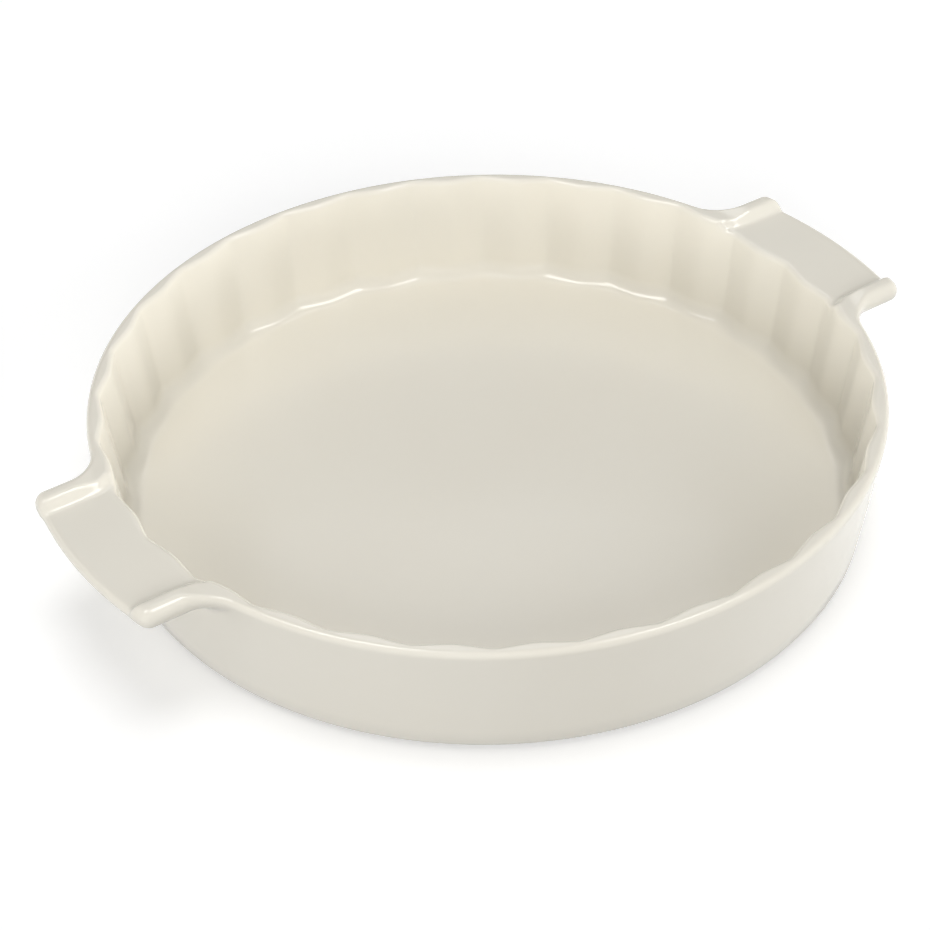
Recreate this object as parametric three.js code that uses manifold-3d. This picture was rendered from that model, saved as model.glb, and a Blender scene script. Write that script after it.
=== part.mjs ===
// A round pie dish of cream glazed stoneware: a floor slab, a wall with an even outside and a
// fluted inside, a flat tab handle on each side, and a bare foot ring that it stands on.
// Millimetres, +Z up, the table at z = 0, the handles along X.

import * as THREE from 'three';
import { mergeVertices } from 'three/addons/utils/BufferGeometryUtils.js';
import Module from 'manifold-3d';

// Dish
const RIM_RADIUS = 150;
const HEIGHT = 50.4;
const WALL_LEAN = 7.5;
const WALL_THICKNESS = 4.5;
const RIM_OUTER_ROUNDING = 2.2;
const RIM_INNER_ROUNDING = 1.5;
const FLOOR_TOP = 7;
const FLOOR_FILLET = 8;
const BASE_ROUNDING = 2;

// Flutes: round ribs side by side, with a sharp valley between two ribs and one on each handle's axis
const FLUTE_COUNT = 32;
const FLUTE_DEPTH = 2;

// Foot ring
const FOOT_HEIGHT = 1;
const FOOT_WIDTH = 7;
const FOOT_INSET = 4;
const FOOT_CHAMFER = 0.4;

// Handles
const HANDLE_LENGTH = 23;
const HANDLE_WIDTH = 83.6;
const PLATE_DROP = 2.8;
const PLATE_THICKNESS = 4;
const PLATE_ROUNDING = 1.6;
const RIDGE_WIDTH = 9;
const RIDGE_RISE = 1.2;
const RIDGE_RAMP = 10;
const RIDGE_ROUNDING = 3;
const RIDGE_END_ROUNDING = 4;
const RIDGE_END_PROUD = 1;
const ROOT_FILLET = 10;

// Joints between the pieces
const WALL_SEAT = 4.5;
const JOINT_GAP = 0.3;
const JOINT_MARGIN = 3;

// Facets
const STEPS_PER_FLUTE = 6;
const STEPS_PER_TURN = FLUTE_COUNT * STEPS_PER_FLUTE;
const FOOT_STEPS = 72;
const ARC_STEPS = 3;
const BEVEL_STEPS = 3;

// Levels and radii that follow from the sizes above
const PLATE_TOP = HEIGHT - PLATE_DROP;
const UNDERSIDE = PLATE_TOP - PLATE_THICKNESS;
const HALF_WIDTH = HANDLE_WIDTH / 2;
const HANDLE_REACH = RIM_RADIUS + HANDLE_LENGTH;
const ROOT_RADIUS = RIM_RADIUS - WALL_THICKNESS - FLUTE_DEPTH - RIDGE_WIDTH;
const FILLET_Z = FLOOR_TOP + FLOOR_FILLET;
const FILLET_RADIUS = wallInside(FILLET_Z) - FLOOR_FILLET;
const ABOVE = HEIGHT + HANDLE_LENGTH;

const wasm = await Module();
wasm.setup();

function wallOutside(z) {
  return RIM_RADIUS - WALL_LEAN * (1 - z / HEIGHT);
}

// The inside of the wall at the bottom of a flute's valley
function wallInside(z) {
  return wallOutside(z) - WALL_THICKNESS;
}

// How far a rib stands in from the valleys, from 0 in a valley to 1 on the crest
function ribShare(angle) {
  return Math.abs(Math.sin(angle * FLUTE_COUNT / 2));
}

// Points on an arc of a section, as [radius, height, share of the flutes' depth]
function sectionArc(radius, z, size, from, to, share) {
  const points = [];
  for (let step = 0; step <= ARC_STEPS; step += 1) {
    const angle = from + (to - from) * step / ARC_STEPS;
    points.push([radius + size * Math.cos(angle), z + size * Math.sin(angle), share(angle)]);
  }
  return points;
}

// The inside from the rim down to the floor
function insideSection() {
  const rimCentre = wallInside(HEIGHT) + RIM_INNER_ROUNDING;
  const rimZ = HEIGHT - RIM_INNER_ROUNDING;
  return [
    ...sectionArc(rimCentre, rimZ, RIM_INNER_ROUNDING, Math.PI / 2, Math.PI, () => 1),
    ...sectionArc(FILLET_RADIUS, FILLET_Z, FLOOR_FILLET, 0, -Math.PI / 2, (angle) => Math.cos(angle)),
  ];
}

function wallSection() {
  const rimCentre = RIM_RADIUS - RIM_OUTER_ROUNDING;
  const rimZ = HEIGHT - RIM_OUTER_ROUNDING;
  return [
    [FILLET_RADIUS, WALL_SEAT, 0],
    [wallOutside(WALL_SEAT), WALL_SEAT, 0],
    ...sectionArc(rimCentre, rimZ, RIM_OUTER_ROUNDING, 0, Math.PI / 2, () => 0),
    ...insideSection(),
  ];
}

// The hollow of the dish as a solid, to cut the handles' roots along the inside of the wall
function hollowSection() {
  const inside = insideSection().reverse();
  const mouth = inside[inside.length - 1];
  return [[0, FLOOR_TOP, 0], ...inside, [mouth[0], ABOVE, 1], [0, ABOVE, 0]];
}

// Turns a section of [radius, height, share] round the dish's axis, with the flutes on it.
// A point on the axis becomes a single vertex.
function turnedSection(section) {
  const positions = [];
  const rings = [];
  for (const [radius, z, share] of section) {
    const ring = [];
    const onAxis = radius === 0;
    for (let step = 0; step < (onAxis ? 1 : STEPS_PER_TURN); step += 1) {
      const angle = 2 * Math.PI * step / STEPS_PER_TURN;
      const distance = onAxis ? 0 : radius - FLUTE_DEPTH * share * ribShare(angle);
      ring.push(positions.length / 3);
      positions.push(distance * Math.cos(angle), distance * Math.sin(angle), z);
    }
    rings.push(ring);
  }
  const triangles = [];
  rings.forEach((ring, place) => {
    const next = rings[(place + 1) % rings.length];
    for (let step = 0; step < STEPS_PER_TURN; step += 1) {
      const after = (step + 1) % STEPS_PER_TURN;
      if (ring.length > 1) {
        triangles.push(ring[step], ring[after], next[next.length > 1 ? after : 0]);
      }
      if (next.length > 1) {
        triangles.push(ring[ring.length > 1 ? step : 0], next[after], next[step]);
      }
    }
  });
  const geometry = new THREE.BufferGeometry();
  geometry.setAttribute('position', new THREE.Float32BufferAttribute(positions, 3));
  geometry.setIndex(triangles);
  return geometry;
}

function solid(geometry) {
  const bare = geometry.clone();
  bare.deleteAttribute('normal');
  bare.deleteAttribute('uv');
  const merged = mergeVertices(bare);
  return new wasm.Manifold(new wasm.Mesh({
    numProp: 3,
    vertProperties: new Float32Array(merged.getAttribute('position').array),
    triVerts: new Uint32Array(merged.getIndex().array),
  }));
}

function geometryOf(body) {
  const mesh = body.getMesh();
  const geometry = new THREE.BufferGeometry();
  geometry.setAttribute('position', new THREE.BufferAttribute(mesh.vertProperties, mesh.numProp));
  geometry.setIndex(new THREE.BufferAttribute(mesh.triVerts, 1));
  geometry.computeVertexNormals();
  return geometry;
}

// A level slab between two heights whose edges are rounded, inside its outline
function roundedSlab(outline, low, high, rounding) {
  const geometry = new THREE.ExtrudeGeometry(outline, {
    depth: high - low - 2 * rounding,
    curveSegments: ARC_STEPS,
    bevelEnabled: rounding > 0,
    bevelThickness: rounding,
    bevelSize: rounding,
    bevelOffset: -rounding,
    bevelSegments: BEVEL_STEPS,
  });
  return geometry.translate(0, 0, low + rounding);
}

// The ground that a handle's joint covers: it crosses the wall and reaches past the tab
function jointBlock(low, halfWidth) {
  const length = HANDLE_REACH - ROOT_RADIUS / 2 + JOINT_MARGIN;
  const block = new THREE.BoxGeometry(length, 2 * halfWidth, ABOVE - low);
  return block.translate(ROOT_RADIUS / 2 + length / 2, 0, (low + ABOVE) / 2);
}

// The plate's outline: straight sides that end inside the ridges, and an edge round the dish's axis
function plateOutline() {
  const half = HALF_WIDTH - RIDGE_WIDTH / 2;
  const end = Math.asin(half / HANDLE_REACH);
  const outline = new THREE.Shape();
  outline.moveTo(ROOT_RADIUS, -half);
  outline.lineTo(HANDLE_REACH * Math.cos(end), -half);
  outline.absarc(0, 0, HANDLE_REACH, -end, end, false);
  outline.lineTo(ROOT_RADIUS, half);
  return outline;
}

// Where the ridge's outer side runs into the rim, by a fillet that touches both
function rootFillet() {
  const y = HALF_WIDTH + ROOT_FILLET;
  const distance = RIM_RADIUS + ROOT_FILLET;
  const x = Math.sqrt(distance * distance - y * y);
  return { x, y, rimAngle: Math.atan2(y, x) };
}

// One side ridge, on the +Y side: the rim's bead turned out along the edge of the plate
function ridgeOutline() {
  const inner = HALF_WIDTH - RIDGE_WIDTH;
  const round = RIDGE_END_ROUNDING;
  const endX = Math.sqrt((HANDLE_REACH + RIDGE_END_PROUD) ** 2 - HALF_WIDTH ** 2);
  const fillet = rootFillet();
  const outline = new THREE.Shape();
  outline.moveTo(ROOT_RADIUS, inner + RIDGE_WIDTH / 2);
  outline.quadraticCurveTo(RIM_RADIUS - WALL_THICKNESS, inner, RIM_RADIUS, inner);
  outline.lineTo(endX - round, inner);
  outline.absarc(endX - round, inner + round, round, -Math.PI / 2, 0, false);
  outline.absarc(endX - round, HALF_WIDTH - round, round, 0, Math.PI / 2, false);
  outline.lineTo(fillet.x, HALF_WIDTH);
  outline.absarc(fillet.x, fillet.y, ROOT_FILLET, -Math.PI / 2, fillet.rimAngle - Math.PI, true);
  outline.lineTo(ROOT_RADIUS * Math.cos(fillet.rimAngle), fillet.y);
  return outline;
}

function mirrored(outline) {
  const points = outline.getPoints(ARC_STEPS).map((point) => new THREE.Vector2(point.x, -point.y));
  return new THREE.Shape(points.reverse());
}

// A ridge is as high as the rim at its root, and climbs a little over it along the ramp
function ridgeGeometry(outline) {
  const geometry = roundedSlab(outline, UNDERSIDE, HEIGHT, RIDGE_ROUNDING);
  const position = geometry.getAttribute('position');
  const middle = (UNDERSIDE + HEIGHT) / 2;
  for (let place = 0; place < position.count; place += 1) {
    const climb = THREE.MathUtils.clamp((position.getX(place) - RIM_RADIUS) / RIDGE_RAMP + 0.5, 0, 1);
    const z = position.getZ(place);
    position.setZ(place, z > middle ? z + RIDGE_RISE * climb : z);
  }
  return geometry;
}

function handle(ring, hollow, angle) {
  const placed = (geometry) => solid(geometry.rotateZ(angle));
  const jointHalf = rootFillet().y + JOINT_MARGIN;
  const ridge = ridgeOutline();
  return ring
    .intersect(placed(jointBlock(UNDERSIDE, jointHalf)))
    .subtract(placed(roundedSlab(recessOutline(), PLATE_TOP, ABOVE, 0)))
    .add(placed(roundedSlab(plateOutline(), UNDERSIDE, PLATE_TOP, PLATE_ROUNDING)))
    .add(placed(ridgeGeometry(ridge)))
    .add(placed(ridgeGeometry(mirrored(ridge))))
    .subtract(hollow);
}

// The stretch between the ridges where the rim is cut down to the plate
function recessOutline() {
  const half = HALF_WIDTH - RIDGE_WIDTH / 2;
  const outline = new THREE.Shape();
  outline.moveTo(ROOT_RADIUS / 2, -half);
  outline.lineTo(HANDLE_REACH, -half);
  outline.lineTo(HANDLE_REACH, half);
  outline.lineTo(ROOT_RADIUS / 2, half);
  return outline;
}

function wall(ring) {
  const jointHalf = rootFillet().y + JOINT_MARGIN + JOINT_GAP;
  const notch = () => jointBlock(UNDERSIDE - JOINT_GAP, jointHalf);
  return ring.subtract(solid(notch())).subtract(solid(notch().rotateZ(Math.PI)));
}

// The floor stands inside the wall's foot on a step, and carries the wall round its edge
function floorGeometry() {
  const low = FOOT_HEIGHT;
  const base = wallOutside(low);
  const profile = [new THREE.Vector2(0, low)];
  for (let step = 0; step <= ARC_STEPS; step += 1) {
    const angle = -Math.PI / 2 + Math.PI / 2 * step / ARC_STEPS;
    const x = base - BASE_ROUNDING + BASE_ROUNDING * Math.cos(angle);
    profile.push(new THREE.Vector2(x, low + BASE_ROUNDING + BASE_ROUNDING * Math.sin(angle)));
  }
  profile.push(new THREE.Vector2(wallOutside(WALL_SEAT), WALL_SEAT));
  profile.push(new THREE.Vector2(FILLET_RADIUS - JOINT_GAP, WALL_SEAT));
  profile.push(new THREE.Vector2(FILLET_RADIUS - JOINT_GAP, FLOOR_TOP));
  profile.push(new THREE.Vector2(0, FLOOR_TOP));
  return new THREE.LatheGeometry(profile, STEPS_PER_TURN).rotateX(Math.PI / 2);
}

function footGeometry() {
  const outer = wallOutside(FOOT_HEIGHT) - FOOT_INSET;
  const inner = outer - FOOT_WIDTH;
  const profile = [
    new THREE.Vector2(inner, FOOT_HEIGHT),
    new THREE.Vector2(inner, FOOT_CHAMFER),
    new THREE.Vector2(inner + FOOT_CHAMFER, 0),
    new THREE.Vector2(outer - FOOT_CHAMFER, 0),
    new THREE.Vector2(outer, FOOT_CHAMFER),
    new THREE.Vector2(outer, FOOT_HEIGHT),
    new THREE.Vector2(inner, FOOT_HEIGHT),
  ];
  return new THREE.LatheGeometry(profile, FOOT_STEPS).rotateX(Math.PI / 2);
}

function glaze() {
  return new THREE.MeshStandardMaterial({ color: 0xe6e1d3, roughness: 0.22, metalness: 0 });
}

function bareClay() {
  return new THREE.MeshStandardMaterial({ color: 0xd8cbb4, roughness: 0.85, metalness: 0 });
}

const dish = new THREE.Group();

function addPiece(name, geometry, material) {
  const mesh = new THREE.Mesh(geometry, material);
  mesh.name = name;
  dish.add(mesh);
}

const ring = solid(turnedSection(wallSection()));
const hollow = solid(turnedSection(hollowSection()));
addPiece('dish_floor', floorGeometry(), glaze());
addPiece('fluted_wall', geometryOf(wall(ring)), glaze());
addPiece('right_handle', geometryOf(handle(ring, hollow, 0)), glaze());
addPiece('left_handle', geometryOf(handle(ring, hollow, Math.PI)), glaze());
addPiece('foot_ring', footGeometry(), bareClay());

export default dish;
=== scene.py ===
"""A cream glazed stoneware pie dish with a fluted inside and two flat tab handles, on a pale studio floor.

The glaze runs over the clay joints, so one closed skin stands for the floor, the wall and both handles.
It is made of upright sections, one at each angle round the dish, whose points lie on the surface of one
formula for the body. The dry foot ring is a second piece.
Sizes are in millimetres until a mesh is made, and in metres in Blender.
"""

import math

import bpy
import numpy as np
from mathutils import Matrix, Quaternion, Vector


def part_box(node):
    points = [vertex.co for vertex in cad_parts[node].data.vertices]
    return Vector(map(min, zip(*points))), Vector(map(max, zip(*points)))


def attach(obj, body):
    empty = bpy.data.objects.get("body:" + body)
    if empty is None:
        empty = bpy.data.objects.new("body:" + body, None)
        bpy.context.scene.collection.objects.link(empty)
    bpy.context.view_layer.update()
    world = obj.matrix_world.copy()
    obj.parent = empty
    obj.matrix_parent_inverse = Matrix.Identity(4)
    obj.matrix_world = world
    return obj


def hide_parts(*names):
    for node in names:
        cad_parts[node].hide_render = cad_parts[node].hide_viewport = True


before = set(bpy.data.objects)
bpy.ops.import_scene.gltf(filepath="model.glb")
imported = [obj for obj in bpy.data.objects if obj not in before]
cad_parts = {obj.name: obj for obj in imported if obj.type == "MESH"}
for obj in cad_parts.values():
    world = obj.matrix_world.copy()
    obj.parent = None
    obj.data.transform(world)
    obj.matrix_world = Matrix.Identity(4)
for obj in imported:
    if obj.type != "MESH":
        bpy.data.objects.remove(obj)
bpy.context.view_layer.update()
MM = 0.001

# Sizes that the frame gives
_, WALL_HIGH = (np.array(corner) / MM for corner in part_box("fluted_wall"))
HANDLE_LOW, HANDLE_HIGH = (np.array(corner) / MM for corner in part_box("right_handle"))
FLOOR_LOW, FLOOR_HIGH = (np.array(corner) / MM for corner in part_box("dish_floor"))
_, FOOT_HIGH = (np.array(corner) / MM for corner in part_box("foot_ring"))
RIM_RADIUS = WALL_HIGH[1]
HEIGHT = WALL_HIGH[2]
HANDLE_REACH = HANDLE_HIGH[0]
UNDERSIDE = HANDLE_LOW[2]
RIDGE_RISE = HANDLE_HIGH[2] - HEIGHT
FLOOR_TOP = FLOOR_HIGH[2]
BASE = FLOOR_LOW[2]
FOOT_OUTSIDE = FOOT_HIGH[0]

# Sizes of the dish
WALL_LEAN = 7.5
WALL_THICKNESS = 4.5
RIM_OUTER_ROUNDING = 2.4
RIM_INNER_ROUNDING = 1.9
FLOOR_FILLET = 8.0
BASE_ROUNDING = 2.0
FLUTE_COUNT = 32
FLUTE_DEPTH = 2.0
VALLEY_SOFTNESS = 0.06
CREST_SOFTNESS = 0.25
FOOT_WIDTH = 7.0
FOOT_ROUNDING = 0.4

# Sizes of the handles
HALF_WIDTH = 41.8
PLATE_DROP = 2.8
PLATE_TOP = HEIGHT - PLATE_DROP
RIDGE_WIDTH = 9.0
RIDGE_SLOPE = 5.0
RIDGE_ROUNDING = 4.3
RIDGE_LOWER_ROUNDING = 3.4
RIDGE_INNER_ROUNDING = 2.6
RIDGE_RAMP = 10.0
RIDGE_END_PROUD = 1.0
CORNER_ROUNDING = 3.8
LOWER_ROUNDING = 1.9
ROOT_FILLET = 10.0
UNDER_FILLET = 5.0
BEAD_TURN = 2.0

# Heights about the underside between which the fillet under a handle becomes the one beside it
FILLET_CHANGE_BELOW = 2.0
FILLET_CHANGE_ABOVE = 4.0

# Widths about a handle's side between which the ridge's inner rounding becomes the rim's
ROUNDING_CHANGE_INSIDE = 2.0
ROUNDING_CHANGE_OUTSIDE = 6.0

# Columns of the skin: over a handle's plate, over its side, over its root, and on the plain wall
PLATE_ANGLE, SIDE_ANGLE, ROOT_ANGLE = np.radians([13.0, 18.0, 22.5])
PLATE_COLUMNS = 40
SIDE_COLUMNS = 80
ROOT_COLUMNS = 20
COLUMNS_PER_FLUTE = 20
FOOT_COLUMNS = 256

# How many rows each stretch of a section has
FLOOR_ROWS = 8
FILLET_ROWS = 9
WALL_ROWS = 10
EDGE_ROWS = 7
TOP_ROWS = 22
TIP_ROWS = 13
UNDER_ROWS = 13
OUTER_WALL_ROWS = 5
BASE_ROWS = 5
BASE_RINGS = (0.85, 0.5, 0.2)

# Rays that look for the surface: where they start, how far they run and how they are searched
RAY_INSET = 2.0
RAY_REACH = 45.0
FAN_REACH = 40.0
TOP_REACH = 12.0
TIP_LAST_TURN = -math.pi / 5.0
PIVOT_OUT = 4.0
PIVOT_DOWN = 24.0
SEARCH_STEPS = 72
HALVINGS = 26

# Colours, roughness and bump
COLOUR_STOPS = (0.3, 0.7)
GLAZE_COLOURS = ((0.915, 0.872, 0.765), (0.925, 0.887, 0.785))
GLAZE_CLOUD_SCALE = 14.0
GLAZE_IOR = 1.5
GLAZE_COAT = 0.2
GLAZE_COAT_ROUGHNESS = 0.06
GLAZE_ROUGHNESS = (0.15, 0.21)
GLAZE_ROUGHNESS_SCALE = 60.0
GLAZE_RIPPLE_SCALE = 130.0
GLAZE_RIPPLE_DETAIL = 1.0
GLAZE_RIPPLE = (0.05, 0.0006)
CLAY_COLOURS = ((0.44, 0.35, 0.25), (0.60, 0.50, 0.38))
CLAY_GRAIN_SCALE = 900.0
CLAY_GRAIN_DETAIL = 5.0
CLAY_ROUGHNESS = (0.75, 0.95)
CLAY_GRAIN = (0.5, 0.0004)
CLOUD_DETAIL = 3.0

# The photograph's camera
CAMERA_PLACE = (-441.9, -652.7, 634.4)
CAMERA_AIM = (-19.7, -13.7, 30.0)
CAMERA_ROLL = math.radians(-1.454)
CAMERA_LENS = 101.18
CAMERA_SENSOR = 36.0

# The studio, in metres. The floor lies a hair below the foot ring, so that the two don't share a plane.
STAGE_HALF_WIDTH = 6.0
STAGE_LEVEL = -0.0002
STAGE_GREY = (0.9, 0.9, 0.9, 1.0)
STAGE_ROUGHNESS = 0.8
STAGE_SPECULAR = 0.1
STAGE_GLOW = 0.34
WHITE = (1.0, 1.0, 1.0, 1.0)
ROOM_LIGHT = 0.135
SOFTBOX_DISTANCE = 3.0

# Each softbox has degrees round from the camera's side, degrees up, width and depth in metres, watts, and
# whether the gloss mirrors it and whether it lights the surfaces. The low ones lift the outer wall, the
# mirrored ones at the back shine on the dish's floor, and the strips draw the lines along the fillet.
SOFTBOXES = {
    "front": (0.0, 24.0, 1.3, 1.3, 34.0, False, True),
    "right_front": (50.0, 20.0, 1.4, 1.4, 14.0, False, True),
    "right": (98.0, 4.0, 2.4, 0.4, 38.0, False, True),
    "left": (-62.0, 4.0, 2.4, 0.4, 33.0, False, True),
    "back": (180.0, 50.0, 1.9, 2.0, 5.0, True, True),
    "back_inner": (180.0, 50.0, 1.3, 1.4, 4.0, True, True),
    "back_middle": (180.0, 49.0, 0.7, 1.0, 3.5, True, True),
    "back_right": (140.0, 6.0, 2.4, 0.5, 20.0, False, True),
    "back_left": (-150.0, 6.0, 2.4, 0.5, 18.0, False, True),
    "left_strip": (-76.0, 69.0, 0.9, 1.3, 22.0, True, False),
    "right_strip": (84.0, 65.0, 0.9, 1.1, 20.0, True, False),
    "top": (0.0, 90.0, 1.6, 1.6, 30.0, False, True),
}


# Shape of the body

def smooth_step(low, high, value):
    share = np.clip((value - low) / (high - low), 0.0, 1.0)
    return share * share * (3.0 - 2.0 * share)


def rounded_meet(first, second, size):
    """Where both are negative, with the edge between them rounded."""
    corner = np.hypot(np.maximum(first + size, 0.0), np.maximum(second + size, 0.0))
    return np.minimum(np.maximum(first, second), -size) + corner


def filleted_join(first, second, size):
    """Where either is negative, with a fillet in the corner between them."""
    corner = np.hypot(np.maximum(size - first, 0.0), np.maximum(size - second, 0.0))
    return np.maximum(np.minimum(first, second), size) - corner


def wall_outside(z):
    return RIM_RADIUS - WALL_LEAN * (1.0 - z / HEIGHT)


def rib_share(angle):
    """How far a rib stands in at this angle: 0 in a valley and 1 on a crest, both softened by the glaze."""
    turn = np.abs((angle * FLUTE_COUNT / math.pi + 1.0) % 2.0 - 1.0)
    turn = np.hypot(turn, VALLEY_SOFTNESS) - VALLEY_SOFTNESS
    top = math.hypot(1.0, VALLEY_SOFTNESS) - VALLEY_SOFTNESS
    foot = math.hypot(top, CREST_SOFTNESS)
    return (foot - np.hypot(top - turn, CREST_SOFTNESS)) / (foot - CREST_SOFTNESS)


def wall_inside(z, angle):
    return wall_outside(z) - WALL_THICKNESS - FLUTE_DEPTH * rib_share(angle)


def ridge_share(radius, across):
    """0 on a handle's plate and 1 on its ridges and the rim, with the rim's bead turning out at the root."""
    turn = np.clip((RIM_RADIUS + BEAD_TURN / 2.0 - radius) / (2.0 * BEAD_TURN), 0.0, 1.0)
    foot = HALF_WIDTH - RIDGE_WIDTH + BEAD_TURN * turn ** 2
    return smooth_step(foot - RIDGE_SLOPE / 2.0, foot + RIDGE_SLOPE / 2.0, across)


def climb_share(radius):
    """0 on the rim, and 1 where the ridges have climbed to their full height."""
    return smooth_step(RIM_RADIUS, RIM_RADIUS + RIDGE_RAMP, radius)


def top_height(radius, across):
    return PLATE_TOP + (PLATE_DROP + RIDGE_RISE * climb_share(radius)) * ridge_share(radius, across)


def body_distance(radius, angle, z):
    """Near the surface, how far a point lies outside the body. Negative inside it."""
    across = np.abs(radius * np.sin(angle))
    outside = radius - wall_outside(z)
    ridge = ridge_share(radius, across)
    end = radius - HANDLE_REACH - RIDGE_END_PROUD * ridge
    tab = rounded_meet(across - HALF_WIDTH, end, CORNER_ROUNDING)
    lower_rounding = LOWER_ROUNDING + (RIDGE_LOWER_ROUNDING - LOWER_ROUNDING) * ridge
    tab = rounded_meet(tab, UNDERSIDE - z, lower_rounding)
    beside = smooth_step(UNDERSIDE - FILLET_CHANGE_BELOW, UNDERSIDE + FILLET_CHANGE_ABOVE, z)
    fillet = UNDER_FILLET + (ROOT_FILLET - UNDER_FILLET) * beside
    side = filleted_join(outside, tab, fillet)
    climb = ridge * climb_share(radius)
    upper_rounding = RIM_OUTER_ROUNDING + (RIDGE_ROUNDING - RIM_OUTER_ROUNDING) * climb
    body = rounded_meet(side, z - top_height(radius, across), upper_rounding)
    fade = smooth_step(HALF_WIDTH + ROUNDING_CHANGE_OUTSIDE, HALF_WIDTH - ROUNDING_CHANGE_INSIDE, across)
    inner_rounding = RIM_INNER_ROUNDING + (RIDGE_INNER_ROUNDING - RIM_INNER_ROUNDING) * (ridge * fade)
    return rounded_meet(body, wall_inside(z, angle) - radius, inner_rounding)


# Sections of the skin, as rows of (radius, height) at every angle

def column_angles():
    """Angles round the dish, close together where a handle's side runs out, and evenly spaced elsewhere."""
    plain = 2.0 * math.pi / FLUTE_COUNT / COLUMNS_PER_FLUTE
    quarter = np.concatenate([
        np.linspace(0.0, PLATE_ANGLE, PLATE_COLUMNS, endpoint=False),
        np.linspace(PLATE_ANGLE, SIDE_ANGLE, SIDE_COLUMNS, endpoint=False),
        np.linspace(SIDE_ANGLE, ROOT_ANGLE, ROOT_COLUMNS, endpoint=False),
        np.arange(ROOT_ANGLE, math.pi / 2.0 - plain / 2.0, plain),
    ])
    half = np.concatenate([quarter, math.pi - np.append(quarter, math.pi / 2.0)[:0:-1]])
    return np.concatenate([half, half + math.pi])


def first_crossing(angle, radius, z, step_radius, step_z):
    """The first place along a ray where it passes through the surface, by a search and then by halving."""

    def sign_at(share):
        return np.sign(body_distance(radius + step_radius * share, angle, z + step_z * share))

    start_sign = np.sign(body_distance(radius, angle, z))
    low = np.zeros_like(angle)
    high = np.ones_like(angle)
    found = np.zeros(angle.shape, bool)
    for share in np.linspace(0.0, 1.0, SEARCH_STEPS + 1)[1:]:
        passed = sign_at(share) != start_sign
        fresh = passed & ~found
        low = np.where(fresh, share - 1.0 / SEARCH_STEPS, low)
        high = np.where(fresh, share, high)
        found |= passed
    for _ in range(HALVINGS):
        middle = (low + high) / 2.0
        same = sign_at(middle) == start_sign
        low = np.where(same, middle, low)
        high = np.where(same, high, middle)
    share = (low + high) / 2.0
    return radius + step_radius * share, z + step_z * share


def floor_rows(angle):
    centre = wall_outside(FLOOR_TOP + FLOOR_FILLET) - WALL_THICKNESS - FLOOR_FILLET
    rows = []
    for share in np.linspace(0.0, 1.0, FLOOR_ROWS + 1)[1:-1]:
        rows.append((np.full_like(angle, centre * share), np.full_like(angle, FLOOR_TOP)))
    for turn in np.linspace(-math.pi / 2.0, 0.0, FILLET_ROWS + 1)[:-1]:
        depth = FLUTE_DEPTH * math.cos(turn) * rib_share(angle)
        radius = centre + FLOOR_FILLET * math.cos(turn) - depth
        rows.append((radius, np.full_like(angle, FLOOR_TOP + FLOOR_FILLET * (1.0 + math.sin(turn)))))
    return rows


def inner_wall_rows(angle, edge_z):
    low = FLOOR_TOP + FLOOR_FILLET
    rows = []
    for share in np.linspace(0.0, 1.0, WALL_ROWS + 1)[:-1]:
        z = low + (edge_z - low) * share
        rows.append((wall_inside(z, angle), z))
    return rows


def fan_rows(angle, radius, z, turns):
    """Where rays from a point inside the body leave it, one row for each turn from the level."""
    nothing = np.zeros_like(angle)
    rows = []
    for turn in turns:
        step_radius = nothing + FAN_REACH * math.cos(turn)
        step_z = nothing + FAN_REACH * math.sin(turn)
        rows.append(first_crossing(angle, radius, z, step_radius, step_z))
    return rows


def skin_rows(angle):
    """From the floor up the inner wall, over the rim or the handle, and down the outside to the base."""
    nothing = np.zeros_like(angle)
    inner_radius = wall_inside(HEIGHT, angle)
    mouth_radius = inner_radius + RAY_INSET
    edge_z = top_height(mouth_radius, np.abs(mouth_radius * np.sin(angle))) - RAY_INSET
    rows = floor_rows(angle) + inner_wall_rows(angle, edge_z)
    edge_radius = wall_inside(edge_z, angle) + RAY_INSET
    rows += fan_rows(angle, edge_radius, edge_z, np.linspace(math.pi, math.pi / 2.0, EDGE_ROWS))

    level = np.full_like(angle, (UNDERSIDE + PLATE_TOP) / 2.0)
    tip, _ = first_crossing(angle, edge_radius, level, nothing + RAY_REACH, nothing)
    last = tip - RAY_INSET
    for share in np.linspace(0.0, 1.0, TOP_ROWS + 1)[1:-1]:
        radius = edge_radius + (last - edge_radius) * share
        rows.append(first_crossing(angle, radius, level, nothing, nothing + TOP_REACH))
    rows += fan_rows(angle, last, level, np.linspace(math.pi / 2.0, TIP_LAST_TURN, TIP_ROWS))
    rows += under_rows(angle, *rows[-1])
    rows += base_rows(angle)
    return rows


def under_end():
    """The height on the outer wall where the fillet under a handle has ended."""
    return UNDERSIDE - 2.0 * UNDER_FILLET


def under_rows(angle, from_radius, from_z):
    """From a tip back to the outer wall, by rays that turn about a point below the tip."""
    nothing = np.zeros_like(angle)
    pivot_radius = HANDLE_REACH + PIVOT_OUT
    pivot_z = UNDERSIDE - PIVOT_DOWN
    wall_z = np.full_like(angle, under_end())
    start = np.arctan2(from_z - pivot_z, from_radius - pivot_radius)
    end = np.arctan2(wall_z - pivot_z, wall_outside(wall_z) - pivot_radius)
    rows = []
    for share in np.linspace(0.0, 1.0, UNDER_ROWS + 1)[1:]:
        turn = start + (end - start) * share
        step_radius = RAY_REACH * np.cos(turn)
        step_z = RAY_REACH * np.sin(turn)
        rows.append(first_crossing(angle, nothing + pivot_radius, nothing + pivot_z, step_radius, step_z))
    return rows


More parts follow.
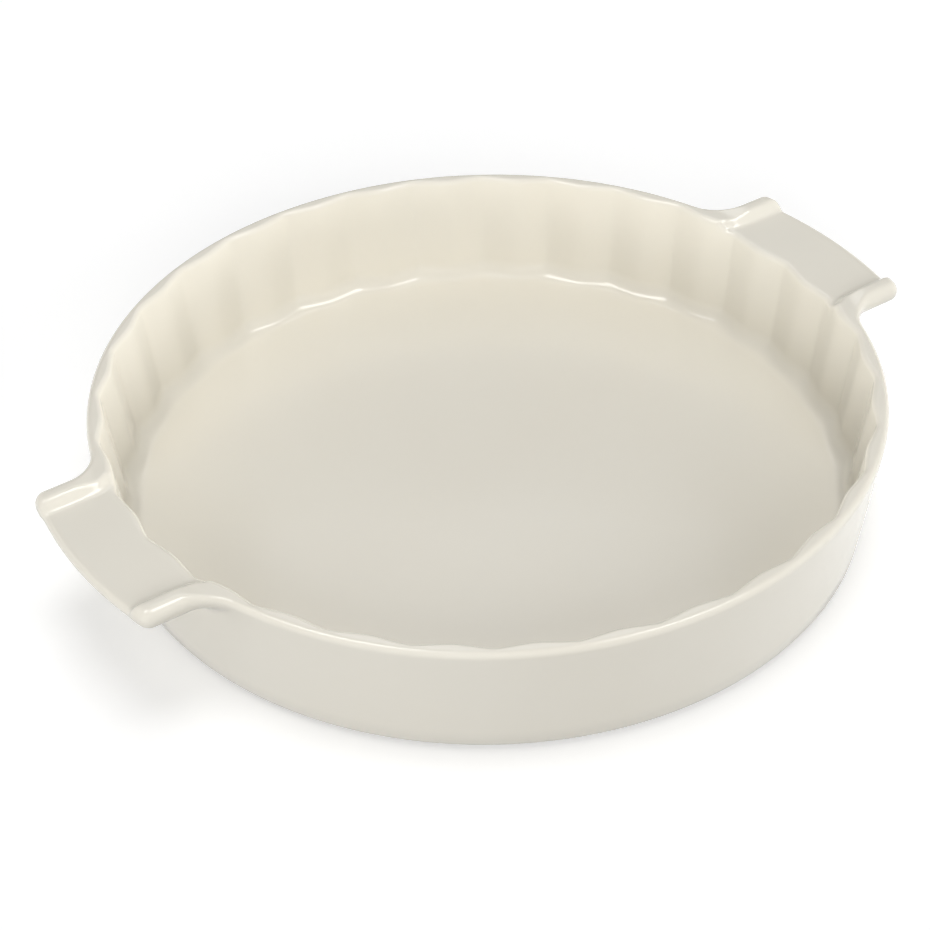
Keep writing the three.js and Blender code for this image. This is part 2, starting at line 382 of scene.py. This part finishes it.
def base_rows(angle):
    """Down the outer wall, round the lower edge and in along the underside."""
    wall_z = np.full_like(angle, under_end())
    start = BASE + BASE_ROUNDING
    rows = []
    for share in np.linspace(0.0, 1.0, OUTER_WALL_ROWS + 1)[1:]:
        z = wall_z + (start - wall_z) * share
        rows.append((wall_outside(z), z))
    centre = wall_outside(BASE) - BASE_ROUNDING
    for turn in np.linspace(0.0, -math.pi / 2.0, BASE_ROWS + 1)[1:]:
        radius = centre + BASE_ROUNDING * math.cos(turn)
        z = start + BASE_ROUNDING * math.sin(turn)
        rows.append((np.full_like(angle, radius), np.full_like(angle, z)))
    for share in BASE_RINGS:
        rows.append((np.full_like(angle, centre * share), np.full_like(angle, BASE)))
    return rows


# Meshes

def ring_points(angle, radius, z):
    return zip(radius * np.cos(angle) * MM, radius * np.sin(angle) * MM, z * MM)


def skin_mesh(name, angle, rows, poles):
    """A closed mesh of the rows, ending in a point at the middle of the floor and of the underside."""
    count = len(angle)
    points = [(0.0, 0.0, poles[0] * MM)]
    for radius, z in rows:
        points += ring_points(angle, radius, z)
    points.append((0.0, 0.0, poles[1] * MM))
    last = len(points) - 1
    faces = []
    for step in range(count):
        after = (step + 1) % count
        faces.append((0, 1 + step, 1 + after))
        for row in range(len(rows) - 1):
            near, far = 1 + row * count, 1 + (row + 1) * count
            faces.append((near + step, far + step, far + after, near + after))
        far = 1 + (len(rows) - 1) * count
        faces.append((far + step, last, far + after))
    return smooth_mesh(name, points, faces)


def smooth_mesh(name, points, faces):
    mesh = bpy.data.meshes.new(name)
    mesh.from_pydata([tuple(map(float, point)) for point in points], [], faces)
    mesh.shade_smooth()
    mesh.update()
    return mesh


def add_piece(name, mesh, material, nodes):
    piece = bpy.data.objects.new(name, mesh)
    bpy.context.scene.collection.objects.link(piece)
    piece.data.materials.append(material)
    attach(piece, "root")
    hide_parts(*nodes)


def add_glazed_body():
    angle = column_angles()
    mesh = skin_mesh("glazed_body", angle, skin_rows(angle), (FLOOR_TOP, BASE))
    nodes = ("dish_floor", "fluted_wall", "right_handle", "left_handle")
    add_piece("glazed_body", mesh, glaze_material(), nodes)


def foot_corner(edge, inward):
    """A rounded lower corner of the foot ring's section, from its side down to the ground."""
    corner = []
    for turn in np.linspace(0.0, math.pi / 2.0, BASE_ROWS):
        radius = edge + inward * FOOT_ROUNDING * (1.0 - math.cos(turn))
        corner.append((radius, FOOT_ROUNDING * (1.0 - math.sin(turn))))
    return corner


def add_foot_ring():
    angle = np.linspace(0.0, 2.0 * math.pi, FOOT_COLUMNS, endpoint=False)
    inside = FOOT_OUTSIDE - FOOT_WIDTH
    outer = foot_corner(FOOT_OUTSIDE, -1.0)
    inner = foot_corner(inside, 1.0)
    section = [(FOOT_OUTSIDE, BASE), *outer, *reversed(inner), (inside, BASE)]
    points = []
    for radius, z in section:
        points += ring_points(angle, radius, np.full(FOOT_COLUMNS, z))
    faces = []
    for place in range(len(section)):
        near, far = place * FOOT_COLUMNS, (place + 1) % len(section) * FOOT_COLUMNS
        for step in range(FOOT_COLUMNS):
            after = (step + 1) % FOOT_COLUMNS
            faces.append((near + step, far + step, far + after, near + after))
    mesh = smooth_mesh("bare_foot_ring", points, faces)
    add_piece("bare_foot_ring", mesh, clay_material(), ("foot_ring",))


# Materials

class Paint:
    """A material's node tree, with short calls to add and join nodes."""

    def __init__(self, name):
        self.material = bpy.data.materials.new(name)
        self.material.use_nodes = True
        self.nodes = self.material.node_tree.nodes
        self.links = self.material.node_tree.links
        self.shader = self.nodes["Principled BSDF"]

    def join(self, source, target):
        self.links.new(source, target)

    def noise(self, scale, detail):
        noise = self.nodes.new("ShaderNodeTexNoise")
        noise.inputs["Scale"].default_value = scale
        noise.inputs["Detail"].default_value = detail
        place = self.nodes.new("ShaderNodeTexCoord")
        self.join(place.outputs["Object"], noise.inputs["Vector"])
        return noise.outputs["Fac"]

    def ramp(self, source, colours):
        ramp = self.nodes.new("ShaderNodeValToRGB")
        for element, stop, colour in zip(ramp.color_ramp.elements, COLOUR_STOPS, colours):
            element.position = stop
            element.color = (*colour, 1.0)
        self.join(source, ramp.inputs["Fac"])
        return ramp.outputs["Color"]

    def span(self, source, ends):
        span = self.nodes.new("ShaderNodeMapRange")
        span.inputs["To Min"].default_value = ends[0]
        span.inputs["To Max"].default_value = ends[1]
        self.join(source, span.inputs["Value"])
        return span.outputs["Result"]

    def bump(self, source, strength, distance):
        bump = self.nodes.new("ShaderNodeBump")
        bump.inputs["Strength"].default_value = strength
        bump.inputs["Distance"].default_value = distance
        self.join(source, bump.inputs["Height"])
        return bump.outputs["Normal"]


def glaze_material():
    """Cream glaze with soft clouds of colour, uneven gloss and a faint ripple."""
    paint = Paint("cream_glaze")
    shader = paint.shader
    shader.inputs["IOR"].default_value = GLAZE_IOR
    shader.inputs["Coat Weight"].default_value = GLAZE_COAT
    shader.inputs["Coat Roughness"].default_value = GLAZE_COAT_ROUGHNESS
    cloud = paint.noise(GLAZE_CLOUD_SCALE, CLOUD_DETAIL)
    paint.join(paint.ramp(cloud, GLAZE_COLOURS), shader.inputs["Base Color"])
    patches = paint.noise(GLAZE_ROUGHNESS_SCALE, CLOUD_DETAIL)
    paint.join(paint.span(patches, GLAZE_ROUGHNESS), shader.inputs["Roughness"])
    ripple = paint.noise(GLAZE_RIPPLE_SCALE, GLAZE_RIPPLE_DETAIL)
    paint.join(paint.bump(ripple, *GLAZE_RIPPLE), shader.inputs["Normal"])
    return paint.material


def clay_material():
    """Bare fired clay, with grain in its colour, roughness and bump."""
    paint = Paint("bare_clay")
    shader = paint.shader
    grain = paint.noise(CLAY_GRAIN_SCALE, CLAY_GRAIN_DETAIL)
    paint.join(paint.ramp(grain, CLAY_COLOURS), shader.inputs["Base Color"])
    paint.join(paint.span(grain, CLAY_ROUGHNESS), shader.inputs["Roughness"])
    paint.join(paint.bump(grain, *CLAY_GRAIN), shader.inputs["Normal"])
    return paint.material


def floor_material():
    paint = Paint("studio_floor")
    shader = paint.shader
    shader.inputs["Base Color"].default_value = STAGE_GREY
    shader.inputs["Roughness"].default_value = STAGE_ROUGHNESS
    shader.inputs["Specular IOR Level"].default_value = STAGE_SPECULAR
    shader.inputs["Emission Color"].default_value = WHITE
    shader.inputs["Emission Strength"].default_value = STAGE_GLOW
    return paint.material


# Studio

def add_floor():
    """A white floor. It gives no diffuse light back, because that would wash out the dish's outer wall."""
    half = STAGE_HALF_WIDTH
    corners = [(x, y, STAGE_LEVEL) for x, y in ((-half, -half), (half, -half), (half, half), (-half, half))]
    mesh = bpy.data.meshes.new("studio_floor")
    mesh.from_pydata(corners, [], [(0, 1, 2, 3)])
    floor = bpy.data.objects.new("studio_floor", mesh)
    bpy.context.scene.collection.objects.link(floor)
    mesh.materials.append(floor_material())
    floor.visible_diffuse = False


def add_softbox(name, turn, rise, width, depth, power, mirrored, lighting):
    """A softbox that faces the dish."""
    bearing = math.atan2(CAMERA_PLACE[1], CAMERA_PLACE[0]) + math.radians(turn)
    level = math.cos(math.radians(rise))
    height = math.sin(math.radians(rise))
    place = SOFTBOX_DISTANCE * Vector((level * math.cos(bearing), level * math.sin(bearing), height))
    light = bpy.data.lights.new(name, "AREA")
    light.shape = "RECTANGLE"
    light.size = width
    light.size_y = depth
    light.energy = power
    box = bpy.data.objects.new(name, light)
    bpy.context.scene.collection.objects.link(box)
    box.visible_glossy = mirrored
    box.visible_diffuse = lighting
    box.location = place
    box.rotation_mode = "QUATERNION"
    box.rotation_quaternion = (-place).to_track_quat("-Z", "Y")


def add_studio():
    add_floor()
    world = bpy.data.worlds.new("studio")
    bpy.context.scene.world = world
    world.use_nodes = True
    background = world.node_tree.nodes["Background"]
    background.inputs["Color"].default_value = WHITE
    background.inputs["Strength"].default_value = ROOM_LIGHT
    for name, values in SOFTBOXES.items():
        add_softbox(name, *values)
    bpy.context.scene.view_settings.view_transform = "Standard"


def add_camera():
    camera = bpy.data.objects.new("camera", bpy.data.cameras.new("camera"))
    bpy.context.scene.collection.objects.link(camera)
    camera.data.lens = CAMERA_LENS
    camera.data.sensor_width = CAMERA_SENSOR
    place = Vector(CAMERA_PLACE) * MM
    camera.location = place
    camera.rotation_mode = "QUATERNION"
    look = (Vector(CAMERA_AIM) * MM - place).to_track_quat("-Z", "Y")
    camera.rotation_quaternion = look @ Quaternion((0.0, 0.0, 1.0), CAMERA_ROLL)
    bpy.context.scene.camera = camera


add_camera()
add_studio()
add_glazed_body()
add_foot_ring()
